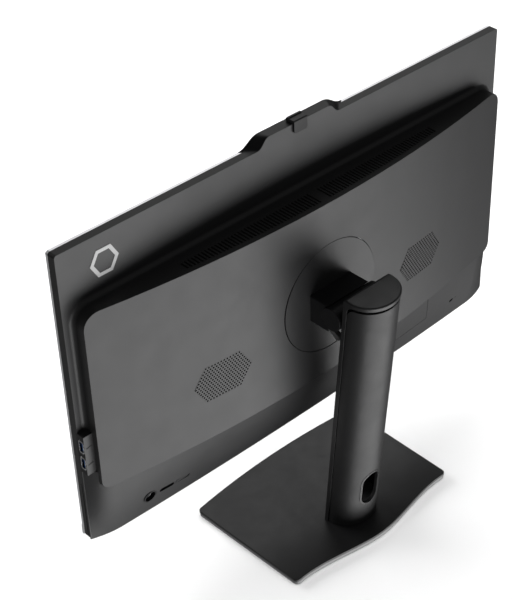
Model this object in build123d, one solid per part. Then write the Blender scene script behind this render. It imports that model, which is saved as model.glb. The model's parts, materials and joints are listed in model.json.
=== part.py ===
from build123d import *
import math
import os

# Frame: +Z up, screen faces -Y, X along the screen's width, origin on the floor under the middle.

# display slab
SLAB_W = 612.0
SLAB_H = 354.0
SLAB_Z0 = 125.0
SLAB_BACK = -36.3
BAND_D = 9.6
LIP_D = 3.2
SLAB_TOP = SLAB_Z0 + SLAB_H
BAND_FRONT = SLAB_BACK - BAND_D
SLAB_FRONT = BAND_FRONT - LIP_D
SLAB_R = 3.0
COVER_T = 1.8
BEZEL = 7.0
CHIN_BAR_H = 13.4
BUMP_TOP = SLAB_TOP + 10.8
BUMP_FRONT = (44.0, 73.0)
BUMP_BACK = (40.0, 58.0)
SHUTTER_HALF = 9.0
SHUTTER_REACH = 5.0
TONGUE_HALF = 2.0

# rear housing
HOUSE_HALF = 295.0
HOUSE_Z0 = 198.2
HOUSE_Z1 = 414.3
HOUSE_MID_D = 43.9
HOUSE_BOW = 3165.0
HOUSE_R_TOP = 18.0
HOUSE_R_LOW = 9.5
WALL = 2.4
CREASE_STEP = 1.0
CHIN_CONVEX = 2.0
CHIN_TUCK = 5.0

# mount seam and grilles
MOUNT_Z = 297.8
MOUNT_R = 66.3
MOUNT_GAP = 0.5
MOUNT_FACE = 7.3
GRILLE_X = 147.8
GRILLE_Z = 269.8
GRILLE_HALF = 34.5
GRILLE_EDGE = 21.5
GRILLE_RISE = 20.7
GRILLE_ROWS = 7
GRILLE_PITCH = 3.83
GRILLE_HOLE = 1.05
GRILLE_RIM = 1.5
LOUVRE_X0 = 7.5
LOUVRE_X1 = 176.0
LOUVRE_COUNT = 40

# chin controls
CONTROL_Z = 150.4
INLET_X = 238.0
INLET_R = 7.6
CARD_X = 216.5
BUTTON_X = 196.2
SLOT_L = 18.6
SLOT_H = 5.2
LOCK_X = -229.5
LOCK_Z = 155.0
LOCK_L = 7.0
LOCK_H = 4.0
LOCK_DOT = (8.2, 0.4, 0.8)
DOOR_TOP = 195.5
DOOR_LOW = 156.5
DOOR_X0 = -42.0
DOOR_X1_TOP = -171.0
DOOR_X1_LOW = -181.0
DOOR_GAP = 0.75

# side socket block
PORT_Z = (254.9, 233.6)
PORT_BLOCK_Z0 = 219.6
PORT_BLOCK_Z1 = 269.6
PORT_BLOCK_BACK = -27.2
PORT_BLOCK_FRONT = -38.0
PORT_BLOCK_X0 = 289.2
PORT_HALF = 8.0
PORT_D = 8.0

# stand
FOOT_H = 1.4
BASE_TOP = 8.6
BASE_FRONT = -93.4
COL_LEAN = 5.1
COL_Y = 28.0
COL_HALF = 33.0
COL_SIDE = 9.5
COL_ROUND = 27.5
COL_TOP = 328.6
COL_WALL = 2.2
COL_EDGE_R = 1.6
CAP_FRONT_R = 4.5
STRIP_D = 6.0
CAP_T = 5.0
TILT_Y = 40.2
TILT_Z = 300.6
KNUCKLE_R = 13.2
PIN_R = 4.0
SWIVEL_Y = 47.0
SPIGOT_R = 14.0
RUN = 0.05
HOLE_Z = 65.6
HOLE_HALF = 12.0
HOLE_RISE = 23.0


def span_box(x0, x1, y0, y1, z0, z1):
    box = Box(x1 - x0, y1 - y0, z1 - z0, align=(Align.MIN, Align.MIN, Align.MIN))
    return Pos(x0, y0, z0) * box


def span_face(u0, u1, v0, v1):
    return make_face(Polyline((u0, v0), (u1, v0), (u1, v1), (u0, v1), close=True))


def rod_y(x, z, r, y0, y1):
    rod = Cylinder(r, y1 - y0, align=(Align.CENTER, Align.CENTER, Align.MIN))
    return Pos(x, y0, z) * Rot(-90, 0, 0) * rod


def rod_x(y, z, r, x0, x1):
    rod = Cylinder(r, x1 - x0, align=(Align.CENTER, Align.CENTER, Align.MIN))
    return Pos(x0, y, z) * Rot(0, 90, 0) * rod


def rod_z(x, y, r, z0, z1):
    rod = Cylinder(r, z1 - z0, align=(Align.CENTER, Align.CENTER, Align.MIN))
    return Pos(x, y, z0) * rod


def xz_plane(y):
    """Sketch plane with local x along X and local y along Z, extruding towards +Y."""
    return Plane(origin=(0, y, 0), x_dir=(-1, 0, 0), z_dir=(0, 1, 0))


def slab_layer(y0, y1, inset=0.0, radius=SLAB_R):
    half = SLAB_W / 2 - inset
    solid = span_box(-half, half, y0, y1, SLAB_Z0 + inset, SLAB_TOP - inset)
    return fillet(solid.edges().filter_by(Axis.Y), radius)


def bump_section(y, flat, end):
    """Outline of the camera bump: a flat top with an S-curve falling away at each end."""
    low = SLAB_TOP - 4.0
    mid_x = (end + flat) / 2
    mid_z = (SLAB_TOP + BUMP_TOP) / 2
    return xz_plane(y) * make_face([
        Line((-end, low), (end, low)),
        Line((end, low), (end, SLAB_TOP)),
        Spline((end, SLAB_TOP), (mid_x, mid_z), (flat, BUMP_TOP), tangents=((-1, 0), (-1, 0))),
        Line((flat, BUMP_TOP), (-flat, BUMP_TOP)),
        Spline((-flat, BUMP_TOP), (-mid_x, mid_z), (-end, SLAB_TOP), tangents=((-1, 0), (-1, 0))),
        Line((-end, SLAB_TOP), (-end, low)),
    ])


def camera_window(half, rise):
    slot = SlotOverall(half * 2, rise * 2)
    return Pos(0, BAND_FRONT, LENS_Z) * Rot(-90, 0, 0) * extrude(slot, LIP_D + 1, both=True)


def camera_bump():
    """The bump runs forward past the front trim, with its ends scooped towards the back face."""
    bump = loft([bump_section(SLAB_FRONT, *BUMP_FRONT), bump_section(SLAB_BACK, *BUMP_BACK)])
    over_trim = span_box(-100, 100, SLAB_FRONT - 1, BAND_FRONT, SLAB_TOP - 20, SLAB_TOP)
    return bump - over_trim - camera_window(30, 3.2)


def house_depth(x):
    return HOUSE_MID_D - x * x / HOUSE_BOW


def house_block(inset=0.0, y0=SLAB_BACK - 1.0):
    half = HOUSE_HALF - inset
    side_y = SLAB_BACK + house_depth(HOUSE_HALF) - inset
    mid_y = SLAB_BACK + HOUSE_MID_D - inset
    plan = make_face([
        Line((half, y0), (half, side_y)),
        ThreePointArc((half, side_y), (0, mid_y), (-half, side_y)),
        Line((-half, side_y), (-half, y0)),
        Line((-half, y0), (half, y0)),
    ])
    z0 = HOUSE_Z0 + inset
    z1 = HOUSE_Z1 - inset
    solid = extrude(Plane.XY.offset(z0) * plan, z1 - z0)
    ends = solid.edges().filter_by(Axis.Y)
    solid = fillet(ends.group_by(Axis.Z)[-1], HOUSE_R_TOP - inset)
    ends = solid.edges().filter_by(Axis.Y)
    return fillet(ends.group_by(Axis.Z)[0], HOUSE_R_LOW - inset)


CHIN_MIDDLE = 272.0
CHIN_ENDS = (
    (272, 7.6, 1.0), (280, 6.7, 0.985), (288, 5.2, 0.92),
    (295, 3.3, 0.72), (301, 1.3, 0.38), (306, -0.6, -0.04),
)


def chin_low_d(x):
    return 13.5 - x * x / 12500.0


def chin_section(x, low_d, fade, inset):
    top_d = (house_depth(x) - CREASE_STEP) * fade
    z0 = SLAB_Z0 + inset
    z1 = HOUSE_Z0 + CHIN_TUCK - inset
    y_in = SLAB_BACK - 1.0 - inset * 1.2
    y_low = SLAB_BACK + low_d - inset
    y_top = SLAB_BACK + top_d - inset
    mid = ((y_low + y_top) / 2 + CHIN_CONVEX * max(fade, 0.15), (z0 + z1) / 2)
    return Plane.YZ.offset(x) * make_face([
        Line((y_in, z0), (y_low, z0)),
        ThreePointArc((y_low, z0), mid, (y_top, z1)),
        Line((y_top, z1), (y_in, z1)),
        Line((y_in, z1), (y_in, z0)),
    ])


def chin_block(inset=0.0):
    spots = [CHIN_MIDDLE * i / 2 for i in range(-2, 3)]
    middle = loft([chin_section(x, chin_low_d(x), 1.0, inset) for x in spots])
    end = loft([chin_section(x, low, fade, inset) for x, low, fade in CHIN_ENDS])
    return middle + end + mirror(end, Plane.YZ)


def chin_y(x, z):
    """Y of the chin's outer face between its two end blends."""
    low = chin_low_d(x)
    top = house_depth(x) - CREASE_STEP
    s = (z - SLAB_Z0) / (HOUSE_Z0 + CHIN_TUCK - SLAB_Z0)
    return SLAB_BACK + low + (top - low) * s + 4 * CHIN_CONVEX * s * (1 - s)


def chin_tilt(x):
    rise = chin_y(x, CONTROL_Z + 10) - chin_y(x, CONTROL_Z - 10)
    return math.degrees(math.atan2(rise, 20.0))


def on_chin(x, z):
    """Location on the chin's face: local z points out along the face's normal, local x along -X."""
    frame = Plane(origin=(x, chin_y(x, z), z), x_dir=(-1, 0, 0), z_dir=(0, 1, 0))
    return Location(frame) * Rot(chin_tilt(x), 0, 0)


def door_prism(gap):
    face = make_face(Polyline(
        (-(DOOR_X0 - gap), DOOR_LOW + gap),
        (-(DOOR_X1_LOW + gap), DOOR_LOW + gap),
        (-(DOOR_X1_TOP + gap), DOOR_TOP - gap),
        (-(DOOR_X0 - gap), DOOR_TOP - gap),
        close=True,
    ))
    solid = extrude(xz_plane(SLAB_BACK - 6) * face, 60)
    return fillet(solid.edges().filter_by(Axis.Y), 1.2)


def stadium(length, height, depth):
    slot = SlotOverall(length, height)
    return extrude(slot, depth / 2, both=True)


def hex_face(grow=0.0):
    return make_face(Polyline(
        (GRILLE_HALF + grow, 0),
        (GRILLE_EDGE + grow * 0.6, GRILLE_RISE + grow),
        (-GRILLE_EDGE - grow * 0.6, GRILLE_RISE + grow),
        (-GRILLE_HALF - grow, 0),
        (-GRILLE_EDGE - grow * 0.6, -GRILLE_RISE - grow),
        (GRILLE_EDGE + grow * 0.6, -GRILLE_RISE - grow),
        close=True,
    ))


def on_grille(side):
    """Location on the bowed back face at a grille's middle, local z pointing out."""
    x = side * GRILLE_X
    y = SLAB_BACK + house_depth(x)
    lean = math.degrees(math.atan(2 * x / HOUSE_BOW))
    frame = Plane(origin=(x, y, GRILLE_Z), x_dir=(-1, 0, 0), z_dir=(0, 1, 0))
    return Location(frame) * Rot(0, -lean, 0)


def louvre_opening(side, grow=0.0):
    x0 = side * (LOUVRE_X0 - 3.0 - grow)
    x1 = side * (LOUVRE_X1 + 3.0 + grow)
    low, high = min(x0, x1), max(x0, x1)
    edge0 = SLAB_BACK + house_depth(x0) - 4.0 + grow
    edge1 = SLAB_BACK + house_depth(x1) - 4.0 + grow
    middle = (x0 + x1) / 2
    edge_mid = SLAB_BACK + house_depth(middle) - 4.0 + grow
    front = -23.0 - grow
    return make_face([
        Line((x0, front), (x0, edge0)),
        ThreePointArc((x0, edge0), (middle, edge_mid), (x1, edge1)),
        Line((x1, edge1), (x1, front)),
        Line((x1, front), (x0, front)),
    ])


def louvre_strip(side):
    strip = extrude(Plane.XY.offset(HOUSE_Z1 - WALL) * louvre_opening(side), WALL)
    pitch = (LOUVRE_X1 - LOUVRE_X0) / (LOUVRE_COUNT - 1)
    cuts = []
    for i in range(LOUVRE_COUNT):
        x = side * (LOUVRE_X0 + i * pitch)
        back = SLAB_BACK + house_depth(x) - 6.5
        cuts.append(span_box(x - 1.0, x + 1.0, -20.0, back, HOUSE_Z1 - WALL - 1, HOUSE_Z1 + 1))
    return strip - Compound(cuts)


def rear_cover():
    shell = slab_layer(BAND_FRONT, SLAB_BACK) + house_block()
    joint = shell.edges().filter_by(
        lambda e: abs(e.center().Y - SLAB_BACK) < 0.01
        and abs(e.center().X) < HOUSE_HALF + 1
        and HOUSE_Z0 - 1 < e.center().Z < HOUSE_Z1 + 1
    )
    shell = fillet(joint, 5.0)
    shell = shell + chin_block()
    shell = shell - slab_layer(BAND_FRONT, SLAB_BACK - COVER_T, COVER_T, 1.5)
    shell = shell - house_block(WALL, SLAB_BACK - COVER_T - 1)
    shell = shell - chin_block(WALL)
    under_ledge = span_box(-268, 268, SLAB_BACK, SLAB_BACK + 15, HOUSE_Z0 - 8, HOUSE_Z0 + 8)
    camera_pocket = span_box(-37, 37, BAND_FRONT, SLAB_BACK - COVER_T, SLAB_TOP - 20, BUMP_TOP - COVER_T)
    shell = shell - under_ledge + camera_bump() + port_ramp() - camera_pocket
    for cut in housing_cuts() + chin_cuts():
        shell = shell - cut
    slot_half = TONGUE_HALF + SHUTTER_REACH + 0.3
    return shell - span_box(-slot_half, slot_half, SLAB_BACK - 7, SLAB_BACK - 2.5, BUMP_TOP - 4, BUMP_TOP + 1)


def port_ramp():
    """The chin's end blend carried up to the underside of the side socket block."""
    sections = []
    for x, _, fade in CHIN_ENDS[3:]:
        y = SLAB_BACK + (house_depth(x) - CREASE_STEP) * fade
        face = span_face(SLAB_BACK - 1.5, y, HOUSE_Z0, PORT_BLOCK_Z0)
        sections.append(Plane.YZ.offset(x) * face)
    return loft(sections)


def housing_cuts():
    cuts = [rod_y(0, MOUNT_Z, MOUNT_R + MOUNT_GAP, -8, 20)]
    for side in (1, -1):
        cuts.append(on_grille(side) * extrude(hex_face(GRILLE_RIM), 6, both=True))
        cuts.append(extrude(Plane.XY.offset(HOUSE_Z1 - WALL - 1) * louvre_opening(side), WALL + 3))
    return cuts


def chin_cuts():
    dot_x, dot_z, dot_r = LOCK_DOT
    cuts = [door_prism(0.0)]
    cuts.append(on_chin(INLET_X, CONTROL_Z) * Cylinder(INLET_R + 0.6, 30))
    for x in (CARD_X, BUTTON_X):
        cuts.append(on_chin(x, CONTROL_Z) * stadium(SLOT_L, SLOT_H, 12))
    cuts.append(on_chin(LOCK_X, LOCK_Z) * stadium(LOCK_L, LOCK_H, 12))
    cuts.append(on_chin(LOCK_X - dot_x, LOCK_Z + dot_z) * Cylinder(dot_r, 12))
    side_x = SLAB_W / 2 + 0.5
    port_y0 = PORT_BLOCK_FRONT - 0.2
    cuts.append(span_box(PORT_BLOCK_X0 - 1.2, side_x, port_y0, PORT_BLOCK_BACK, PORT_BLOCK_Z0, PORT_BLOCK_Z1))
    return cuts


# ---------------------------------------------------------------- display front
GLASS_Y0 = -48.6
GLASS_Y1 = -46.8
PANEL_Y1 = -40.4
PLATE_Y0 = -40.2
PLATE_Y1 = -39.0
BOARD_Y0 = -34.0
BOARD_Y1 = -32.4
LENS_Z = 483.2


def front_frame():
    ring = slab_layer(SLAB_FRONT, BAND_FRONT)
    half = SLAB_W / 2
    screen_low = SLAB_Z0 + CHIN_BAR_H
    glass_seat = span_box(-half + 1.6, half - 1.6, SLAB_FRONT - 1, GLASS_Y1, screen_low, SLAB_TOP - 1.6)
    opening = span_box(-half + 5, half - 5, SLAB_FRONT - 1, 0, screen_low + 4, SLAB_TOP - 5)
    bar_seat = span_box(-half - 1, half + 1, SLAB_FRONT - 1, GLASS_Y1, SLAB_Z0 - 1, screen_low)
    return ring - glass_seat - opening - bar_seat


def chin_bar():
    half = SLAB_W / 2
    bar = span_box(-half, half, SLAB_FRONT - 1.3, GLASS_Y1, SLAB_Z0, SLAB_Z0 + CHIN_BAR_H - 0.2)
    return fillet(bar.edges().filter_by(Axis.X).group_by(Axis.Y)[0], 1.0)


def screen_glass():
    half = SLAB_W / 2 - 1.7
    z0 = SLAB_Z0 + CHIN_BAR_H + 0.1
    z1 = SLAB_TOP - 1.7
    return span_box(-half, half, GLASS_Y0, GLASS_Y1, z0, z1)


def panel_module():
    half = SLAB_W / 2 - 5.2
    z0 = SLAB_Z0 + CHIN_BAR_H + 4.2
    z1 = SLAB_TOP - 5.2
    return span_box(-half, half, GLASS_Y1, PANEL_Y1, z0, z1)


def mid_plate():
    half = SLAB_W / 2 - 6
    plate = span_box(-half, half, PLATE_Y0, PLATE_Y1, SLAB_Z0 + 4, SLAB_TOP - 6)
    for side in (1, -1):
        window = span_box(-45, 45, PLATE_Y0 - 1, PLATE_Y1 + 1, 435, 460)
        plate = plate - Pos(side * 190, 0, 0) * window
        for z in (222, 385):
            plate = plate + rod_y(side * 100, z, 3.5, PLATE_Y1, BOARD_Y0)
    return plate


def webcam_window():
    face = SlotOverall(59.6, 6.0)
    return Pos(0, GLASS_Y0 + 0.4, LENS_Z) * Rot(90, 0, 0) * extrude(face, -2.6)


def webcam_module():
    board = span_box(-34, 34, -45.2, -43.8, LENS_Z - 4.5, LENS_Z + 4)
    barrel = rod_y(0, LENS_Z, 2.6, -45.5, -43.0)
    return board + barrel


def shutter_slider():
    half = SHUTTER_HALF
    over = BUMP_TOP + 0.4
    outer = span_box(-half, half, SLAB_FRONT + 2.9, SLAB_BACK + 2.4, SLAB_TOP + 0.3, over + 3.4)
    outer = fillet(outer.edges().filter_by(Axis.X).group_by(Axis.Z)[-1], 1.4)
    clip = outer - span_box(-half - 1, half + 1, -60, SLAB_BACK + 0.3, SLAB_TOP - 20, over)
    clip = fillet(clip.edges().filter_by(Axis.Y).group_by(Axis.Z)[0], 2.5)
    ridge = span_box(-half, half, SLAB_FRONT + 4.4, SLAB_FRONT + 7.0, over + 3.0, over + 4.4)
    tongue = span_box(-TONGUE_HALF, TONGUE_HALF, SLAB_BACK - 5.4, SLAB_BACK - 3.6, BUMP_TOP - 3.4, over + 0.4)
    return clip + ridge + tongue


# ---------------------------------------------------------------- back inserts
def louvre_left():
    return louvre_strip(1)


def louvre_right():
    return louvre_strip(-1)


def grille(side):
    """Staggered rows of round holes that follow the hexagon, one hole fewer in each row outwards."""
    plate = extrude(hex_face(GRILLE_RIM), -2.0)
    step = GRILLE_RISE / GRILLE_ROWS
    disc = Circle(GRILLE_HOLE)
    holes = []
    for row in range(-GRILLE_ROWS, GRILLE_ROWS + 1):
        count = 2 * GRILLE_ROWS + 5 - abs(row)
        for i in range(count):
            x = (i - (count - 1) / 2) * GRILLE_PITCH
            holes.append(Pos(x, row * step, 0) * disc)
    return on_grille(side) * (plate - extrude(Sketch() + holes, 4, both=True))


def grille_left():
    return grille(1)


def grille_right():
    return grille(-1)


def mount_plate():
    disc = rod_y(0, MOUNT_Z, MOUNT_R, MOUNT_FACE - 4.0, MOUNT_FACE)
    disc = chamfer(disc.edges().group_by(Axis.Y)[-1], 0.4)
    for x in (-52, 52):
        for z in (-30, 30):
            disc = disc - rod_y(x, MOUNT_Z + z, 2.1, 0, MOUNT_FACE - 1.4)
    return disc


def mount_bracket():
    plate = span_box(-70, 70, 0.9, 3.1, MOUNT_Z - 62, MOUNT_Z + 62)
    plate = fillet(plate.edges().filter_by(Axis.Y), 12)
    plate = plate + rod_y(0, MOUNT_Z, 64.0, 3.0, MOUNT_FACE - 4.0)
    for x in (-60, 60):
        for z in (-50, 50):
            plate = plate + rod_y(x, MOUNT_Z + z, 5.0, PLATE_Y1 + 0.1, 1.0)
    for x in (-52, 52):
        for z in (-30, 30):
            plate = plate - rod_y(x, MOUNT_Z + z, 2.1, 0, 5)
    return plate


def mount_screws():
    screws = []
    for x in (-52, 52):
        for z in (-30, 30):
            head = rod_y(x, MOUNT_Z + z, 4.0, -1.6, 0.9)
            screws.append(head + rod_y(x, MOUNT_Z + z, 2.05, 0.9, MOUNT_FACE - 2.0))
    return Compound(screws)


# ---------------------------------------------------------------- sockets and controls
def port_block():
    z0 = PORT_BLOCK_Z0 + 0.2
    z1 = PORT_BLOCK_Z1 - 0.2
    block = span_box(PORT_BLOCK_X0, SLAB_W / 2, PORT_BLOCK_FRONT, PORT_BLOCK_BACK, z0, z1)
    y = SLAB_BACK + 0.5
    for z in PORT_Z:
        block = block - span_box(291.6, 307, y, y + PORT_D, z - PORT_HALF, z + PORT_HALF)
        block = block - Pos(300.5, PORT_BLOCK_BACK, z) * Rot(0, 12, 0) * Box(6.6, 0.8, 1.5)
    return block


def port_shell(z):
    y = SLAB_BACK + 0.6
    half = PORT_HALF - 0.1
    outer = span_box(291.7, 306.2, y, y + PORT_D - 0.2, z - half, z + half)
    outer = fillet(outer.edges().filter_by(Axis.X), 2.4)
    opening = span_box(292.7, 307, y + 1.0, y + 6.8, z - 6.5, z + 6.5)
    return outer - fillet(opening.edges().filter_by(Axis.X), 1.2)


def port_shells():
    return Compound([port_shell(z) for z in PORT_Z])


def port_tongues():
    tongues = [
        span_box(292.8, 305.0, SLAB_BACK + 4.4, SLAB_BACK + 6.6, z - 5.8, z + 5.8)
        for z in PORT_Z
    ]
    return Compound(tongues)


def dc_inlet():
    cup = rod_z(0, 0, INLET_R + 0.5, -12, 0.5) - rod_z(0, 0, INLET_R - 1.0, -10, 2)
    return on_chin(INLET_X, CONTROL_Z) * cup


def dc_contacts():
    pin = rod_z(0, 0, 1.1, -9.9, -1.5)
    sleeve = rod_z(0, 0, 3.9, -9.9, -2.9) - rod_z(0, 0, 3.2, -12, 0)
    return on_chin(INLET_X, CONTROL_Z) * Compound([pin, sleeve])


def card_reader():
    body = Pos(0, 0, -10.2) * Box(SLOT_L + 4, SLOT_H + 4, 13.0)
    slot = Pos(0, 0, -8) * stadium(SLOT_L - 0.4, SLOT_H - 0.4, 15.0)
    return on_chin(CARD_X, CONTROL_Z) * (body - slot)


def power_button():
    cap = SlotOverall(SLOT_L - 0.7, SLOT_H - 0.7)
    key = extrude(cap, -3.6)
    stem = Pos(0, 0, -5.6) * Box(6, 2.6, 4.2)
    return on_chin(BUTTON_X, CONTROL_Z) * (Pos(0, 0, -0.3) * key + stem)


def button_switch():
    return on_chin(BUTTON_X, CONTROL_Z) * Pos(0, 0, -12.0) * Box(8, 4.4, 5.0)


def port_cover():
    skin = chin_block() - chin_block(WALL)
    skin = skin & door_prism(DOOR_GAP)
    tabs = []
    for x in (-70, -145):
        for z in (DOOR_LOW + 5.0, DOOR_TOP - 5.0):
            y = chin_y(x, z) - WALL + 0.2
            tabs.append(span_box(x - 4, x + 4, y - 4.5, y, z - 1.0, z + 1.0))
    return skin + tabs


SOCKET_LAYOUT = (
    (-170, 6.6, 6.2), (-150, 6.6, 2.9), (-127, 7.2, 2.6),
    (-105, 7.2, 2.6), (-78, 6.6, 6.4), (-52, 6.6, 6.4),
)


def io_bracket():
    plate = span_box(-188, -34, -26.0, -24.6, 152, 196)
    for x, _, _ in SOCKET_LAYOUT:
        plate = plate - span_box(x - 8.2, x + 8.2, -27, -23, 166, 184)
    return plate


def io_socket(x, half, rise):
    body = span_box(x - 8, x + 8, -34, -20.5, 166.2, 183.8)
    return body - span_box(x - half, x + half, -31, -20, 175 - rise, 175 + rise)


def io_sockets():
    return Compound([io_socket(x, half, rise) for x, half, rise in SOCKET_LAYOUT])


# ---------------------------------------------------------------- electronics
def main_board():
    board = span_box(-125, 112, BOARD_Y0, BOARD_Y1, 210, 396)
    for x in (-60, 60):
        for z in (-50, 50):
            board = board - rod_y(x, MOUNT_Z + z, 6.5, BOARD_Y0 - 1, BOARD_Y1 + 1)
    for side in (1, -1):
        board = board - rod_y(side * 100, 222, 1.6, BOARD_Y0 - 1, BOARD_Y1 + 1)
    return board


def processor():
    return span_box(-18, 18, BOARD_Y1, BOARD_Y1 + 2.2, MOUNT_Z - 18, MOUNT_Z + 18)


def cold_plate():
    return span_box(-24, 24, BOARD_Y1 + 2.2, BOARD_Y1 + 6.2, MOUNT_Z - 22, MOUNT_Z + 22)


def heat_pipe(side):
    y = BOARD_Y1 + 6.2 + 3.0
    z = MOUNT_Z + side * 9
    bend_x = side * 86
    path = FilletPolyline((0, y, z), (bend_x, y, z), (bend_x, y, 391), (side * 168, y, 391), radius=14)
    ring = Plane(origin=path @ 0, z_dir=path % 0) * Circle(3.0)
    return sweep(ring, path=path)


def heat_pipe_left():
    return heat_pipe(1)


def heat_pipe_right():
    return heat_pipe(-1)


def fin_stack(side):
    fins = []
    for i in range(17):
        x = side * (100 + i * 4.4)
        back = SLAB_BACK + house_depth(x) - WALL - 4
        fins.append(span_box(x - 0.4, x + 0.4, -19.8, back, 388, 410))
    bars = span_box(-36, 36, -19.8, -18.6, 388, 410)
    bar = Pos(side * 135.2, 0, 0) * bars
    return bar + fins


def fin_stack_left():
    return fin_stack(1)


def fin_stack_right():
    return fin_stack(-1)


def blower_housing(side):
    x = side * GRILLE_X
    case = rod_y(x, GRILLE_Z, 44, -31, -8)
    case = case + span_box(x - 44, x + 44, -31, -8, GRILLE_Z, 386)
    bore = rod_y(x, GRILLE_Z, 41, -29.5, -9.5)
    bore = bore + span_box(x - 42.5, x + 42.5, -29.5, -9.5, GRILLE_Z + 20, 387)
    case = case - bore - rod_y(x, GRILLE_Z, 30, -12, 0)
    return case + rod_y(x, GRILLE_Z, 2.0, -30, -12)


def blower_housing_left():
    return blower_housing(1)


def blower_housing_right():
    return blower_housing(-1)


def blower_rotor(side):
    x = side * GRILLE_X
    hub = rod_y(x, GRILLE_Z, 15, -28.5, -11.0) - rod_y(x, GRILLE_Z, 2.0 + RUN, -29, -11.8)
    disc = rod_y(x, GRILLE_Z, 35, -28.5, -27.5) - rod_y(x, GRILLE_Z, 14, -29, -27)
    blades = []
    for i in range(27):
        blade = Pos(25.5, 0, 0) * Rot(0, 0, 24) * Box(21.5, 0.9, 15.0)
        blades.append(Pos(x, -20.2, GRILLE_Z) * Rot(-90, 0, 0) * Rot(0, 0, i * 360 / 27) * blade)
    return hub + disc + blades


def blower_rotor_left():
    return blower_rotor(1)


def blower_rotor_right():
    return blower_rotor(-1)


def memory_modules():
    cards = []
    for z in (228, 246):
        cards.append(span_box(-52, 18, BOARD_Y1 + 3.0, BOARD_Y1 + 4.2, z - 8, z + 8))
        cards.append(span_box(-52, 18, BOARD_Y1, BOARD_Y1 + 3.0, z - 8, z - 4))
    return Compound(cards)


def storage_card():
    card = span_box(28, 50, BOARD_Y1 + 2.4, BOARD_Y1 + 3.6, 216, 292)
    return card + span_box(28, 50, BOARD_Y1, BOARD_Y1 + 2.4, 286, 292)


def wireless_card():
    card = span_box(-100, -78, BOARD_Y1 + 2.4, BOARD_Y1 + 3.4, 340, 370)
    return card + span_box(-100, -78, BOARD_Y1, BOARD_Y1 + 2.4, 364, 370)


def speaker(side):
    box = span_box(-34, 34, -38.0, -28.5, 130, 148)
    box = fillet(box.edges().filter_by(Axis.Y), 3)
    cone = rod_y(-14, 139, 7.4, -30.0, -28.0) + rod_y(14, 139, 7.4, -30.0, -28.0)
    return Pos(side * 112, 0, 0) * (box - cone)


def speaker_left():
    return speaker(1)


def speaker_right():
    return speaker(-1)


def badge():
    outer = RegularPolygon(17, 6)
    inner = RegularPolygon(12.5, 6)
    mark = extrude(outer - inner, 0.4)
    return Pos(252, SLAB_BACK, 448) * Rot(-90, 0, 0) * mark


# ---------------------------------------------------------------- hinge head
LEVER_X0 = 23.0
LEVER_X1 = 29.0


def head_block():
    block = span_box(-30.5, 30.5, MOUNT_FACE, 33.0, 279.0, 313.1)
    block = fillet(block.edges().filter_by(Axis.Y), 2.0)
    block = block - rod_x(TILT_Y, TILT_Z, KNUCKLE_R + 0.7, -40, 40)
    block = block + rod_x(TILT_Y, TILT_Z, KNUCKLE_R, -13.6, 13.6)
    block = block + span_box(-13.6, 13.6, 20, TILT_Y, TILT_Z - 8, TILT_Z + 8)
    block = block - rod_x(TILT_Y, TILT_Z, PIN_R + RUN, -40, 40)
    return block - span_box(LEVER_X0 - 0.35, LEVER_X1 + 0.35, 23.0, 34.0, 270, 286.6)


def release_lever():
    """A cranked bar that rides in the head's slot and drops away behind it to a finger pad."""
    side = make_face(Polyline(
        (24.6, 280.4), (33.6, 280.4), (43.4, 273.8), (48.5, 275.4),
        (48.5, 278.6), (37.6, 284.3), (24.6, 284.3), close=True,
    ))
    bar = extrude(Plane.YZ.offset(LEVER_X0) * side, LEVER_X1 - LEVER_X0)
    return fillet(bar.edges().filter_by(Axis.X), 0.9)


def tilt_pin():
    return rod_x(TILT_Y, TILT_Z, PIN_R, -33.4, 33.4)


# ---------------------------------------------------------------- column, drawn upright then leaned
def leaned(shape):
    return Pos(0, COL_Y, BASE_TOP) * Rot(-COL_LEAN, 0, 0) * shape


def column_plan(inset=0.0, front=0.0):
    half = COL_HALF - inset
    return make_face([
        Line((half, front), (half, COL_SIDE)),
        EllipticalCenterArc((0, COL_SIDE), half, COL_ROUND - inset, 0, arc_size=180),
        Line((-half, COL_SIDE), (-half, front)),
        Line((-half, front), (half, front)),
    ])


def column_solid(inset=0.0, front=0.0, low=-8.0, top=COL_TOP):
    return extrude(Plane.XY.offset(low) * column_plan(inset, front), top - low)


def side_profile(points_low, flare, top_low, top_high):
    """Side view of the front shell: a narrow strip that flares out into the cap."""
    v0, v1 = points_low
    face = make_face([
        Line((v0, -8), (v1, -8)),
        Line((v1, -8), (v1, top_low - flare)),
        ThreePointArc(
            (v1, top_low - flare),
            (v1 + flare * 0.29, top_low - flare * 0.29),
            (v1 + flare, top_low),
        ),
        Line((v1 + flare, top_low), (60, top_low)),
        Line((60, top_low), (60, top_high)),
        Line((60, top_high), (v0, top_high)),
        Line((v0, top_high), (v0, -8)),
    ])
    return extrude(Plane.YZ * face, 50, both=True)


def cable_hole(grow=0.0):
    face = SlotOverall((HOLE_RISE + grow) * 2, (HOLE_HALF + grow) * 2)
    w = HOLE_Z - BASE_TOP
    return Pos(0, 0, w) * Rot(90, 0, 0) * Rot(0, 0, 90) * extrude(face, 80, both=True)


def floor_cut():
    return span_box(-60, 60, -40, 140, -40, BASE_TOP + 0.4)


def column_shell():
    cap_low = COL_TOP - CAP_T
    body = column_solid()
    top_front = body.edges().filter_by(Axis.X).group_by(Axis.Z)[-1]
    body = fillet(top_front, CAP_FRONT_R)
    front = body.edges().filter_by(Axis.Z).group_by(Axis.Y)[0]
    body = fillet(front, COL_EDGE_R)
    body = body & side_profile((-1, STRIP_D), 10.0, cap_low, COL_TOP)
    body = body - column_solid(COL_WALL, 2.6, -9, cap_low)
    body = body - span_box(-20.4, 20.4, -2, 4, 170, 303.6)
    body = body - cable_hole(1.0)
    return leaned(body) - floor_cut()


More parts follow.
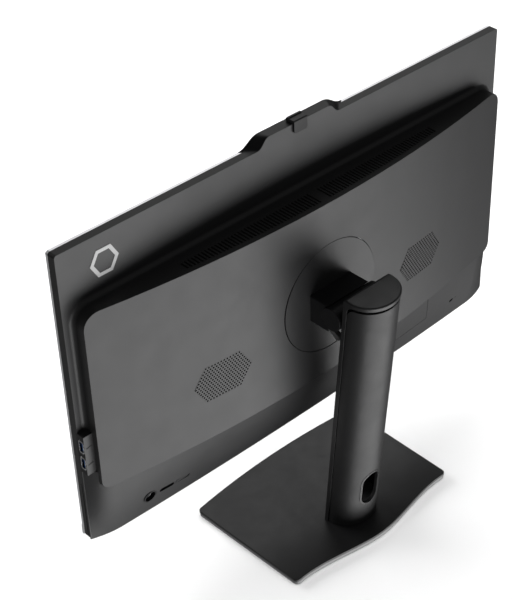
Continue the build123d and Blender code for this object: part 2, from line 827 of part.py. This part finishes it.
def column_cover():
    cap_low = COL_TOP - CAP_T - 3.6
    gap = 0.8
    body = column_solid(gap, 1.0, -8, cap_low)
    body = body - side_profile((-2, STRIP_D + gap), 10.0, cap_low, COL_TOP)
    body = body - column_solid(gap + COL_WALL, 2.6, -9, COL_TOP)
    body = body - cable_hole(2.3)
    return leaned(body) - floor_cut()


def cable_ring():
    tube = column_solid(0.4, 1.0, 0, 120) - column_solid(4.4, 2.6, -1, 121)
    tube = tube & span_box(-40, 40, 16, 60, 0, 120)
    return leaned(tube & (cable_hole(2.3) - cable_hole(0.0)))


def slide_rail():
    web = span_box(-24, 24, 16.0, 17.6, 112, 314)
    sides = span_box(-24, -22.6, 4.0, 16.0, 112, 314) + span_box(22.6, 24, 4.0, 16.0, 112, 314)
    return leaned(web + sides)


def carriage():
    block = span_box(-22.0, 22.0, 5.0, 15.4, 270, 313)
    return leaned(fillet(block.edges().filter_by(Axis.Y), 2.0))


def tilt_bracket():
    lean = math.radians(COL_LEAN)
    v = (TILT_Y - COL_Y) * math.cos(lean) - (TILT_Z - BASE_TOP) * math.sin(lean)
    w = (TILT_Y - COL_Y) * math.sin(lean) + (TILT_Z - BASE_TOP) * math.cos(lean)
    bracket = span_box(-19.0, 19.0, v, 5.0, w - 10, w + 10)
    bracket = bracket - rod_x(v, w, KNUCKLE_R + 0.7, -14.2, 14.2)
    bracket = bracket + rod_x(v, w, KNUCKLE_R, 14.2, 34.0) + rod_x(v, w, KNUCKLE_R, -34.0, -14.2)
    bracket = bracket - rod_x(v, w, PIN_R, -33.4, 33.4)
    return leaned(bracket)


def spring_drum():
    coil = rod_x(25.2, 299, 6.4, -10, 10) - rod_x(25.2, 299, 3.0, -11, 11)
    axle = rod_x(25.2, 299, 3.0, -12, 12)
    ears = span_box(-12.6, -11.0, 17.6, 29, 294, 304) + span_box(11.0, 12.6, 17.6, 29, 294, 304)
    return leaned(coil + axle + ears)


def foot_block():
    block = leaned(column_solid(COL_WALL + 1.0, 2.8, -8, 24)) - floor_cut()
    spigot = rod_z(0, SWIVEL_Y, SPIGOT_R, 5.3, 12)
    return block + spigot - rod_z(0, SWIVEL_Y, 3.0, 0, 18)


# ---------------------------------------------------------------- base
def base_outline(inset=0.0):
    front_half = 125.0 - inset
    rear_half = 123.0 - inset
    y0 = -85.2 + inset
    y1 = 76.0 - inset
    bulge = ((92, 75.8), (60, 80.6), (28, 86.6), (0, 89.3), (-28, 86.6), (-60, 80.6), (-92, 75.8))
    rear = [(x, y - inset) for x, y in bulge]
    return make_face([
        ThreePointArc((-front_half, y0), (0, BASE_FRONT + inset), (front_half, y0)),
        Line((front_half, y0), (rear_half, y1)),
        Spline((rear_half, y1), *rear, (-rear_half, y1)),
        Line((-rear_half, y1), (-front_half, y0)),
    ])


def base_slice(z0, z1, inset=0.0):
    solid = extrude(Plane.XY.offset(z0) * base_outline(inset), z1 - z0)
    corners = solid.edges().filter_by(Axis.Z)
    return fillet(corners, 5.5)


def base_plate():
    plate = base_slice(5.4, BASE_TOP)
    plate = chamfer(plate.edges().group_by(Axis.Z)[-1], 0.5)
    return plate - rod_z(0, SWIVEL_Y, SPIGOT_R + RUN, 0, 20)


def base_weight():
    weight = base_slice(FOOT_H, 5.4, 0.5)
    return weight - rod_z(0, SWIVEL_Y, 25.0, 0, 20)


def retaining_disc():
    disc = rod_z(0, SWIVEL_Y, 24.0, 2.8, 5.3)
    return disc - rod_z(0, SWIVEL_Y, 3.0, 0, 18)


def swivel_screw():
    head = rod_z(0, SWIVEL_Y, 6.0, 1.5, 2.8) - rod_z(0, SWIVEL_Y, 2.0, 1.0, 2.2)
    return head + rod_z(0, SWIVEL_Y, 2.95, 2.8, 17.5)


def rubber_feet():
    spots = ((-108, -72), (108, -72), (-106, 60), (106, 60), (0, 80), (0, -82))
    return Compound([rod_z(x, y, 7.0, 0, FOOT_H) for x, y in spots])


NODES = (
    front_frame, chin_bar, screen_glass, panel_module, mid_plate, webcam_window, webcam_module,
    shutter_slider, rear_cover, louvre_left, louvre_right, grille_left, grille_right, mount_plate,
    mount_bracket, mount_screws, port_block, port_shells, port_tongues,
    dc_inlet, dc_contacts, card_reader, power_button, button_switch, port_cover, io_bracket,
    io_sockets, main_board, processor, cold_plate, heat_pipe_left, heat_pipe_right, fin_stack_left,
    fin_stack_right, blower_housing_left, blower_housing_right, blower_rotor_left,
    blower_rotor_right, memory_modules, storage_card, wireless_card, speaker_left, speaker_right,
    badge, head_block, release_lever, tilt_pin, tilt_bracket, carriage, slide_rail, spring_drum,
    column_shell, column_cover, cable_ring, foot_block, retaining_disc, swivel_screw, base_plate,
    base_weight, rubber_feet,
)

os.makedirs("parts", exist_ok=True)
for make in NODES:
    export_step(make(), "parts/" + make.__name__ + ".step")
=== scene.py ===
"""Finishes, studio and camera for an all-in-one desktop computer on its stand."""
import json
import math

import bpy
from mathutils import Matrix, Vector


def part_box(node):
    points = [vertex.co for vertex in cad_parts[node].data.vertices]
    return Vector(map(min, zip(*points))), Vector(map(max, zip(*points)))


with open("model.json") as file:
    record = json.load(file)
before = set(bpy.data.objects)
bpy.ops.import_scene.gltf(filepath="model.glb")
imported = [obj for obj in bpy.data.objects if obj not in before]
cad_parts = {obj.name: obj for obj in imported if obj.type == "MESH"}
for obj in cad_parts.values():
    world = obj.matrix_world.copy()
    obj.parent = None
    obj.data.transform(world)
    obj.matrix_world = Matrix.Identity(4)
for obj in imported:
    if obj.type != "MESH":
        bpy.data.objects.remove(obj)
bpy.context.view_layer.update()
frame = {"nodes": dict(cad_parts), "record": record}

NODES = frame["nodes"]

# camera: a long lens behind the computer, on its +X side and above it
CAMERA_AIM = (0.008, -0.0073, 0.25)
CAMERA_DISTANCE = 1.703
CAMERA_AZIMUTH = 135.39
CAMERA_ELEVATION = 37.74
CAMERA_ROLL = -0.57
CAMERA_LENS = 95.5
CAMERA_SHIFT = (-0.1001, 0.0472)

# colours, linear
BACK_GREY = (0.036, 0.036, 0.037)
COLUMN_GREY = (0.040, 0.040, 0.041)
BASE_GREY = (0.030, 0.030, 0.031)
PITCH = (0.010, 0.010, 0.011)
SILVER = (0.62, 0.62, 0.63)
STEEL = (0.50, 0.50, 0.51)
WHITE_INK = (0.82, 0.82, 0.82)
LEVER_GREY = (0.20, 0.20, 0.20)
SOCKET_BLUE = (0.025, 0.18, 0.62)
COPPER = (0.72, 0.35, 0.20)
BOARD_GREEN = (0.015, 0.075, 0.035)
GOLD = (0.80, 0.56, 0.22)

# how far an edge's rubbed look and painted highlight, and its rounded shading, reach, in metres: fine
# for metal and rubber, broad for paint, cast alloy and the slab
FINE_EDGE = 0.0004
PLASTIC_EDGE = 0.0005
BROAD_EDGE = 0.0006

# how much lighter a plastic edge is painted, as rubbed wear and as a painted highlight, and how much a
# paint's flake varies
EDGE_WEAR_AND_HIGHLIGHT = 0.35
PAINT_FLAKE = 0.04

# plastic's spark-eroded grain, in waves per metre, its relief and depth, and the satin's roughness
PLASTIC_GRAIN = 2600.0
GRAIN_RELIEF = 0.12
GRAIN_DEPTH = 0.0001
SATIN_ROUGH = (0.42, 0.46)

# marks on the camera window: radii, and how far each sits from the lens along X, in metres
LENS_RADIUS = 0.0014
LENS_RING = (0.0026, 0.0021)
LAMP_RADIUS = 0.0006
LAMP_AWAY = 0.009
PORT_RADIUS = 0.0007
PORTS_AWAY = 0.022
MARK_SOFTNESS = 0.00012

# display panel: its printed border and the spacing of its cells, in metres
PANEL_BORDER = 0.0065
CELL_PITCH = 0.000311

# studio: the world's brightness as a light and as the camera sees it, the floor's half width in
# metres, its own sun and that sun's spread in radians, and the middle that the lights aim at
WORLD_LIGHT = 0.10
WORLD_SEEN = 0.95
FLOOR_HALF = 30.0
FLOOR_SUN = 3.2
FLOOR_SUN_SPREAD = 1.2
STUDIO_MIDDLE = (0, 0, 0.28)

# softboxes: name, a length and a way whose product leads there from the studio's middle, size in
# metres, and watts
SOFTBOXES = (
    ("key", 6.5, (-0.14, 0.772, -0.62), (9.6, 4.6), 440),
    ("fill", 3.0, (0.555, -0.563, -0.612), (2.0, 1.6), 2.5),
    ("crown", 3.0, (-0.555, -0.563, 0.612), (2.0, 2.0), 14),
    ("front", 1.0, (0.7, -2.5, 0.9), (1.8, 1.2), 22),
)


class Graph:
    """A material's nodes around one Principled shader, with short calls for what the finishes share."""

    def __init__(self, name):
        self.material = bpy.data.materials.new(name)
        self.material.use_nodes = True
        self.tree = self.material.node_tree
        self.tree.nodes.clear()
        self.shader = self.add("ShaderNodeBsdfPrincipled")
        output = self.add("ShaderNodeOutputMaterial")
        self.link(self.shader.outputs["BSDF"], output.inputs["Surface"])
        self.place = self.add("ShaderNodeTexCoord").outputs["Object"]
        self.edge_normal = None

    def add(self, kind, **settings):
        node = self.tree.nodes.new(kind)
        for key, value in settings.items():
            setattr(node, key, value)
        return node

    def link(self, source, target):
        self.tree.links.new(source, target)

    def set(self, **values):
        for key, value in values.items():
            socket = self.shader.inputs[key.replace("_", " ")]
            socket.default_value = (*value, 1.0) if isinstance(value, tuple) else value

    def feed(self, key, source):
        self.link(source, self.shader.inputs[key])

    def noise(self, scale, detail=2.0, stretch=(1, 1, 1)):
        """Noise from 0 to 1, with scale in waves per metre."""
        mapping = self.add("ShaderNodeMapping")
        mapping.inputs["Scale"].default_value = stretch
        self.link(self.place, mapping.inputs["Vector"])
        node = self.add("ShaderNodeTexNoise")
        node.inputs["Scale"].default_value = scale
        node.inputs["Detail"].default_value = detail
        self.link(mapping.outputs["Vector"], node.inputs["Vector"])
        return node.outputs["Fac"]

    def remap(self, source, low, high, to_low=0.0, to_high=1.0):
        node = self.add("ShaderNodeMapRange")
        values = (low, high, to_low, to_high)
        for key, value in zip(("From Min", "From Max", "To Min", "To Max"), values):
            node.inputs[key].default_value = value
        self.link(source, node.inputs["Value"])
        return node.outputs["Result"]

    def math(self, operation, a, b):
        node = self.add("ShaderNodeMath", operation=operation)
        for socket, value in zip(node.inputs, (a, b)):
            if isinstance(value, (int, float)):
                socket.default_value = value
            else:
                self.link(value, socket)
        return node.outputs["Value"]

    def mix(self, share, first, second):
        """Colour between first and second; each is a colour or a socket."""
        node = self.add("ShaderNodeMix", data_type="RGBA")
        self.link(share, node.inputs["Factor"])
        for socket, value in zip((node.inputs[6], node.inputs[7]), (first, second)):
            if isinstance(value, tuple):
                socket.default_value = (*value, 1.0)
            else:
                self.link(value, socket)
        return node.outputs[2]

    def edges(self, radius):
        """0 on faces, rising to 1 on edges and corners, whose shading it also rounds off."""
        bevel = self.add("ShaderNodeBevel", samples=4)
        bevel.inputs["Radius"].default_value = radius
        self.edge_normal = bevel.outputs["Normal"]
        dot = self.add("ShaderNodeVectorMath", operation="DOT_PRODUCT")
        self.link(self.edge_normal, dot.inputs[0])
        self.link(self.add("ShaderNodeNewGeometry").outputs["Normal"], dot.inputs[1])
        return self.remap(dot.outputs["Value"], 0.995, 0.80)

    def bump(self, height, strength, depth):
        node = self.add("ShaderNodeBump")
        node.inputs["Strength"].default_value = strength
        node.inputs["Distance"].default_value = depth
        self.link(height, node.inputs["Height"])
        if self.edge_normal is not None:
            self.link(self.edge_normal, node.inputs["Normal"])
        self.feed("Normal", node.outputs["Normal"])

    def axis(self, name):
        """One of the place's coordinates, in metres."""
        node = self.add("ShaderNodeSeparateXYZ")
        self.link(self.place, node.inputs["Vector"])
        return node.outputs[name]

    def facing(self, name):
        """One of the surface normal's coordinates, from -1 to 1."""
        node = self.add("ShaderNodeSeparateXYZ")
        self.link(self.add("ShaderNodeNewGeometry").outputs["Normal"], node.inputs["Vector"])
        return node.outputs[name]

    def plastic_grain(self):
        self.bump(self.noise(PLASTIC_GRAIN, 1.5), GRAIN_RELIEF, GRAIN_DEPTH)


def tinted(colour, factor):
    return tuple(min(1.0, c * factor) for c in colour)


def moulded(name, colour, rough, mottle=0.05):
    """Spark-eroded plastic: fine grain, faint mottling, and edges painted lighter and made smoother, as
    rubbed wear and as a painted highlight.
    """
    g = Graph(name)
    wear_and_highlight_edges = g.edges(PLASTIC_EDGE)
    broad = g.noise(14.0, 3.0)
    base = g.mix(g.remap(broad, 0.3, 0.7), tinted(colour, 1 - mottle), tinted(colour, 1 + mottle))
    # edges painted lighter in patches: partly rubbed wear, partly a painted highlight
    patchy_wear_and_highlight = g.math("MULTIPLY", wear_and_highlight_edges, g.remap(g.noise(90.0), 0.35, 0.65, EDGE_WEAR_AND_HIGHLIGHT * 0.4, EDGE_WEAR_AND_HIGHLIGHT))
    g.feed("Base Color", g.mix(patchy_wear_and_highlight, base, tinted(colour, 2.2)))
    sheen = g.remap(g.noise(38.0, 4.0), 0.3, 0.7, rough - 0.035, rough + 0.035)
    g.feed("Roughness", g.math("SUBTRACT", sheen, g.math("MULTIPLY", wear_and_highlight_edges, 0.12)))
    g.plastic_grain()
    return g.material


def painted(name, colour, rough, coat=0.25):
    """Powder-coated or sprayed metal: orange-peel ripple, fine flake and a thin clear coat."""
    g = Graph(name)
    wear_and_highlight_edges = g.edges(BROAD_EDGE)
    sparkle = g.remap(g.noise(5200.0, 1.0), 0.35, 0.65)
    speck = g.mix(sparkle, tinted(colour, 1 - PAINT_FLAKE), tinted(colour, 1 + PAINT_FLAKE))
    cloud = g.mix(g.remap(g.noise(9.0, 3.0), 0.3, 0.7, 0.0, 0.35), speck, tinted(colour, 0.86))
    # edges painted lighter, as wear and as a painted highlight
    g.feed("Base Color", g.mix(g.math("MULTIPLY", wear_and_highlight_edges, 0.3), cloud, tinted(colour, 1.9)))
    g.feed("Roughness", g.remap(g.noise(60.0, 4.0), 0.3, 0.7, rough - 0.04, rough + 0.04))
    g.set(Coat_Weight=coat, Coat_Roughness=0.3)
    g.bump(g.noise(900.0, 2.0), 0.10, 0.00012)
    return g.material


def brushed(name, colour, rough, stretch=(0.02, 1, 1), scale=4200.0):
    """Metal drawn one way: long fine scratches across its colour, roughness and relief."""
    g = Graph(name)
    wear_and_highlight_edges = g.edges(FINE_EDGE)
    streak = g.noise(scale, 3.0, stretch)
    dull = g.mix(g.remap(streak, 0.3, 0.7), tinted(colour, 0.84), tinted(colour, 1.1))
    # edges painted lighter, as wear and as a painted highlight
    g.feed("Base Color", g.mix(g.math("MULTIPLY", wear_and_highlight_edges, 0.4), dull, tinted(colour, 1.35)))
    g.feed("Roughness", g.remap(streak, 0.3, 0.7, rough + 0.08, rough - 0.06))
    g.set(Metallic=1.0)
    g.bump(streak, 0.15, 0.00006)
    return g.material


def rubber(name, colour):
    g = Graph(name)
    wear_and_highlight_edges = g.edges(FINE_EDGE)
    dusty = g.mix(g.remap(g.noise(160.0, 5.0), 0.4, 0.75), colour, tinted(colour, 2.0))
    # edges painted lighter, as wear and as a painted highlight
    g.feed("Base Color", g.mix(g.math("MULTIPLY", wear_and_highlight_edges, 0.3), dusty, tinted(colour, 2.6)))
    g.feed("Roughness", g.remap(g.noise(700.0), 0.3, 0.7, 0.78, 0.92))
    g.bump(g.noise(1800.0, 3.0), 0.3, 0.0001)
    return g.material


def cast(name, colour):
    """Die-cast alloy with a sandy skin."""
    g = Graph(name)
    wear_and_highlight_edges = g.edges(BROAD_EDGE)
    skin = g.noise(1500.0, 4.0)
    tone = g.mix(g.remap(skin, 0.3, 0.7), tinted(colour, 0.8), tinted(colour, 1.1))
    # edges painted lighter, as wear and as a painted highlight
    g.feed("Base Color", g.mix(g.math("MULTIPLY", wear_and_highlight_edges, 0.5), tone, tinted(colour, 1.5)))
    g.feed("Roughness", g.remap(skin, 0.3, 0.7, 0.5, 0.66))
    g.set(Metallic=0.85)
    g.bump(skin, 0.3, 0.0002)
    return g.material


def screen_cover_glass():
    """Thin anti-glare glass with faint wipe marks."""
    g = Graph("cover_glass")
    smear = g.noise(22.0, 5.0, (1, 1, 2.5))
    g.set(Base_Color=(0.97, 0.98, 0.98), Transmission_Weight=1.0, IOR=1.5)
    g.feed("Roughness", g.remap(smear, 0.35, 0.75, 0.05, 0.11))
    g.bump(g.noise(6000.0, 1.0), 0.03, 0.00003)
    return g.material


def round_mark(g, x, z, plus_x_painted_shade, inner=-1.0):
    """1 on a disc, or on a ring where inner is given, facing along Y; sizes in metres."""
    away_x = g.math("POWER", g.math("SUBTRACT", g.axis("X"), x), 2.0)
    away_z = g.math("POWER", g.math("SUBTRACT", g.axis("Z"), z), 2.0)
    reach = g.math("SQRT", g.math("ADD", away_x, away_z), 0.0)
    disc = g.remap(reach, plus_x_painted_shade + MARK_SOFTNESS, plus_x_painted_shade)
    return g.math("MULTIPLY", disc, g.remap(reach, inner, inner + MARK_SOFTNESS))


def gloss_window():
    """Black camera window, marked with the lens, its ring, a lamp and two microphone ports."""
    low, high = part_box("webcam_window")
    x, z = (low.x + high.x) / 2, (low.z + high.z) / 2
    g = Graph("gloss_window")
    dust = g.noise(420.0, 4.0)
    face = g.mix(g.remap(dust, 0.55, 0.8), (0.006, 0.006, 0.007), (0.016, 0.016, 0.017))
    face = g.mix(round_mark(g, x, z, *LENS_RING), face, (0.16, 0.16, 0.17))
    face = g.mix(round_mark(g, x, z, LENS_RADIUS), face, (0.020, 0.018, 0.050))
    face = g.mix(round_mark(g, x + LAMP_AWAY, z, LAMP_RADIUS), face, (0.42, 0.45, 0.44))
    for side in (-1, 1):
        face = g.mix(round_mark(g, x + side * PORTS_AWAY, z, PORT_RADIUS), face, (0.0, 0.0, 0.0))
    g.feed("Base Color", face)
    g.feed("Roughness", g.remap(g.noise(35.0, 4.0), 0.35, 0.7, 0.05, 0.14))
    g.set(Coat_Weight=1.0, Coat_Roughness=0.04)
    g.bump(dust, 0.02, 0.00005)
    return g.material


def display_panel():
    """Switched-off display: a dark cell grid inside a printed black border."""
    low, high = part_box("panel_module")
    g = Graph("display_panel")
    inside = None
    for name, a, b in (("X", low.x, high.x), ("Z", low.z, high.z)):
        middle, half = (a + b) / 2, (b - a) / 2 - PANEL_BORDER
        reach = g.math("ABSOLUTE", g.math("SUBTRACT", g.axis(name), middle), 0.0)
        within = g.remap(reach, half + 0.0001, half - 0.0001)
        inside = within if inside is None else g.math("MULTIPLY", inside, within)
    cells = g.math("PINGPONG", g.axis("X"), CELL_PITCH / 2)
    rows = g.math("PINGPONG", g.axis("Z"), CELL_PITCH / 2)
    grid = g.remap(g.math("MINIMUM", cells, rows), 0.0, CELL_PITCH / 6)
    cell = g.mix(grid, (0.006, 0.006, 0.007), (0.016, 0.018, 0.023))
    haze = g.mix(g.remap(g.noise(5.0, 2.0), 0.3, 0.7), cell, (0.012, 0.013, 0.017))
    g.feed("Base Color", g.mix(inside, (0.004, 0.004, 0.004), haze))
    g.feed("Roughness", g.remap(inside, 0.0, 1.0, 0.55, 0.32))
    g.bump(grid, 0.05, 0.00002)
    return g.material


def circuit_board():
    """Solder mask with tracks, pads and plated holes."""
    g = Graph("circuit_board")
    lanes = g.add("ShaderNodeTexVoronoi", feature="DISTANCE_TO_EDGE", distance="CHEBYCHEV")
    lanes.inputs["Scale"].default_value = 260.0
    g.link(g.place, lanes.inputs["Vector"])
    track = g.remap(lanes.outputs["Distance"], 0.05, 0.09)
    pads = g.add("ShaderNodeTexVoronoi", feature="F1", distance="EUCLIDEAN")
    pads.inputs["Scale"].default_value = 520.0
    g.link(g.place, pads.inputs["Vector"])
    plated = g.remap(pads.outputs["Distance"], 0.14, 0.10)
    mask = g.mix(track, tinted(BOARD_GREEN, 2.0), BOARD_GREEN)
    g.feed("Base Color", g.mix(plated, mask, GOLD))
    g.feed("Metallic", plated)
    g.feed("Roughness", g.remap(g.noise(90.0, 3.0), 0.3, 0.7, 0.28, 0.42))
    g.bump(track, 0.3, 0.00005)
    return g.material


def slab_shell():
    """The rear cover's plastic: satin grey back, with a smoother black band round the slab's sides."""
    g = Graph("slab_shell")
    wear_and_highlight_edges = g.edges(BROAD_EDGE)
    broad = g.noise(11.0, 3.0)
    base = g.mix(g.remap(broad, 0.3, 0.7), tinted(BACK_GREY, 0.96), tinted(BACK_GREY, 1.04))
    back_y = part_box("badge")[0].y
    side = g.remap(g.axis("Y"), back_y - 0.0002, back_y - 0.0006)
    toned = g.mix(side, base, tinted(BACK_GREY, 0.30))
    # edges painted lighter, as rubbed wear and as a painted highlight along the slab's and housing's
    # edges
    rubbed_and_highlit_share = g.math("MULTIPLY", wear_and_highlight_edges, g.remap(g.noise(90.0), 0.35, 0.65, 0.25, 0.45))
    g.feed("Base Color", g.mix(rubbed_and_highlit_share, toned, tinted(BACK_GREY, 2.0)))
    sheen = g.remap(g.noise(38.0, 4.0), 0.3, 0.7, *SATIN_ROUGH)
    g.feed("Roughness", g.math("SUBTRACT", sheen, g.math("MULTIPLY", side, 0.06)))
    g.feed("Specular IOR Level", g.remap(side, 0.0, 1.0, 0.5, 0.22))
    g.plastic_grain()
    return g.material


def pierced():
    """Back plastic whose through-cuts and side walls, which face away from Y, are painted near-black as
    shade.
    """
    g = Graph("pierced")
    # painted shade: walls that face away from Y are painted near-black, rougher and without specular
    shaded_wall = g.remap(g.math("ABSOLUTE", g.facing("Y"), 0.0), 0.75, 0.55)
    grain = g.mix(g.remap(g.noise(14.0, 3.0), 0.3, 0.7), tinted(BACK_GREY, 0.95), tinted(BACK_GREY, 1.05))
    g.feed("Base Color", g.mix(shaded_wall, grain, tinted(PITCH, 0.2)))
    sheen = g.remap(g.noise(38.0, 4.0), 0.3, 0.7, *SATIN_ROUGH)
    g.feed("Roughness", g.math("ADD", sheen, g.math("MULTIPLY", shaded_wall, 0.5)))
    g.feed("Specular IOR Level", g.remap(shaded_wall, 0.0, 1.0, 0.5, 0.0))
    g.plastic_grain()
    return g.material


def socket_block():
    """The side block's plastic: satin grey towards the back, with painted shade that makes the faces
    towards +X, round the sockets, matt black.
    """
    g = Graph("socket_block")
    wear_and_highlight_edges = g.edges(PLASTIC_EDGE)
    # painted shade: the faces towards +X are painted near-black and made rougher
    plus_x_painted_shade = g.remap(g.facing("X"), 0.6, 0.8)
    grain = g.mix(g.remap(g.noise(40.0, 3.0), 0.3, 0.7), tinted(BACK_GREY, 0.95), tinted(BACK_GREY, 1.05))
    toned = g.mix(plus_x_painted_shade, grain, tinted(PITCH, 0.6))
    # edges painted lighter, as rubbed wear and as a painted highlight
    g.feed("Base Color", g.mix(g.math("MULTIPLY", wear_and_highlight_edges, 0.25), toned, tinted(BACK_GREY, 2.0)))
    g.feed("Roughness", g.remap(plus_x_painted_shade, 0.0, 1.0, 0.44, 0.60))
    g.plastic_grain()
    return g.material


def make_finishes():
    """One finish for each of the record's material slots, by slot name."""
    return {
        "silver_trim": brushed("silver_trim", tinted(SILVER, 1.3), 0.32),
        "screen_glass": screen_cover_glass(),
        "panel_black": display_panel(),
        "gloss_black": gloss_window(),
        "steel_sheet": brushed("steel_sheet", STEEL, 0.36),
        "back_plastic": moulded("back_plastic", BACK_GREY, 0.44),
        "control_plastic": moulded("control_plastic", tinted(BACK_GREY, 0.85), 0.46),
        "black_plastic": moulded("black_plastic", PITCH, 0.50),
        "socket_metal": brushed("socket_metal", tinted(SILVER, 0.6), 0.24),
        "socket_blue": moulded("socket_blue", SOCKET_BLUE, 0.42),
        "board_green": circuit_board(),
        "chip_grey": brushed("chip_grey", tinted(SILVER, 0.9), 0.40, (1, 1, 0.03)),
        "pipe_copper": brushed("pipe_copper", COPPER, 0.30),
        "screw_steel": brushed("screw_steel", STEEL, 0.30, (1, 1, 1), 2600.0),
        "mark_white": moulded("mark_white", WHITE_INK, 0.45, mottle=0.02),
        "hinge_black": painted("hinge_black", tinted(PITCH, 1.1), 0.46, coat=0.1),
        "lever_grey": moulded("lever_grey", LEVER_GREY, 0.45),
        "carriage_black": moulded("carriage_black", PITCH, 0.55),
        "column_shell": painted("column_shell", tinted(COLUMN_GREY, 0.8), 0.42, coat=0.1),
        "column_cover": painted("column_cover", tinted(COLUMN_GREY, 0.8), 0.46, coat=0.0),
        "ring_trim": moulded("ring_trim", COLUMN_GREY, 0.35),
        "cast_grey": cast("cast_grey", tinted(STEEL, 0.7)),
        "base_dark": painted("base_dark", BASE_GREY, 0.46, coat=0.1),
        "base_edge": painted("base_edge", tinted(SILVER, 0.45), 0.42),
        "foot_rubber": rubber("foot_rubber", PITCH),
    }


def dress_nodes(finishes):
    """Each CAD node takes the finish of its slot in the record, or, for a few, one of its own."""
    for part in frame["record"]["subparts"]:
        mesh = NODES[part["node"]].data
        mesh.materials.clear()
        mesh.materials.append(finishes[part["material_slot"]])
    NODES["rear_cover"].data.materials[0] = slab_shell()
    NODES["port_block"].data.materials[0] = socket_block()
    # the grilles, the mount plate and the port cover take painted shade in their cuts and side walls
    cut_walls_painted_shade = pierced()
    for name in ("grille_left", "grille_right", "mount_plate", "port_cover"):
        NODES[name].data.materials[0] = cut_walls_painted_shade
    NODES["tilt_pin"].data.materials[0] = painted("black_oxide", tinted(PITCH, 1.4), 0.40, coat=0.0)


def make_camera():
    a, e, r = (math.radians(v) for v in (CAMERA_AZIMUTH, CAMERA_ELEVATION, CAMERA_ROLL))
    back = Vector((math.sin(a) * math.cos(e), -math.cos(a) * math.cos(e), math.sin(e)))
    right = Vector((0, 0, 1)).cross(back).normalized()
    up = back.cross(right)
    rolled_right = right * math.cos(r) + up * math.sin(r)
    rolled_up = up * math.cos(r) - right * math.sin(r)
    data = bpy.data.cameras.new("camera")
    data.sensor_width = 36.0
    data.lens = CAMERA_LENS
    data.shift_x, data.shift_y = CAMERA_SHIFT
    data.clip_end = 100.0
    camera = bpy.data.objects.new("camera", data)
    turn = Matrix((rolled_right, rolled_up, back)).transposed().to_4x4()
    camera.matrix_world = Matrix.Translation(Vector(CAMERA_AIM) + back * CAMERA_DISTANCE) @ turn
    bpy.context.scene.collection.objects.link(camera)
    bpy.context.scene.camera = camera


def softbox(name, place, aim, size, power):
    data = bpy.data.lights.new(name, "AREA")
    data.shape = "RECTANGLE"
    data.size, data.size_y = size
    data.energy = power
    light = bpy.data.objects.new(name, data)
    way = Vector(aim) - Vector(place)
    light.rotation_euler = way.to_track_quat("-Z", "Y").to_euler()
    light.location = place
    light.visible_camera = False
    bpy.context.scene.collection.objects.link(light)


def make_floor():
    """A pale floor that the camera sees, lit by its own overhead light."""
    mesh = bpy.data.meshes.new("floor")
    corners = [(x * FLOOR_HALF, y * FLOOR_HALF, 0) for x, y in ((-1, -1), (1, -1), (1, 1), (-1, 1))]
    mesh.from_pydata(corners, [], [(0, 1, 2, 3)])
    floor = bpy.data.objects.new("floor", mesh)
    bpy.context.scene.collection.objects.link(floor)
    g = Graph("floor_paint")
    g.feed("Base Color", g.mix(g.noise(3.0, 3.0), (0.90, 0.90, 0.90), (0.93, 0.93, 0.93)))
    g.set(Roughness=0.9)
    mesh.materials.append(g.material)
    floor.visible_diffuse = False
    floor.visible_glossy = False
    floor.visible_shadow = False
    return floor


def make_world():
    world = bpy.data.worlds.new("studio")
    world.use_nodes = True
    bpy.context.scene.world = world
    tree = world.node_tree
    seen = tree.nodes.new("ShaderNodeLightPath").outputs["Is Camera Ray"]
    strength = tree.nodes.new("ShaderNodeMapRange")
    strength.inputs["To Min"].default_value = WORLD_LIGHT
    strength.inputs["To Max"].default_value = WORLD_SEEN
    background = tree.nodes["Background"]
    background.inputs["Color"].default_value = (1, 1, 1, 1)
    tree.links.new(seen, strength.inputs["Value"])
    tree.links.new(strength.outputs["Result"], background.inputs["Strength"])


def make_studio():
    make_world()
    floor = make_floor()
    floor_only = bpy.data.collections.new("floor_only")
    floor_only.objects.link(floor)
    overhead = bpy.data.lights.new("overhead", "SUN")
    overhead.energy = FLOOR_SUN
    overhead.angle = FLOOR_SUN_SPREAD
    sun = bpy.data.objects.new("overhead", overhead)
    bpy.context.scene.collection.objects.link(sun)
    sun.light_linking.receiver_collection = floor_only
    middle = Vector(STUDIO_MIDDLE)
    for name, length, way, size, watts in SOFTBOXES:
        softbox(name, middle + length * Vector(way), middle, size, watts)


def main():
    bpy.context.scene.view_settings.view_transform = "Standard"
    dress_nodes(make_finishes())
    make_camera()
    make_studio()


main()
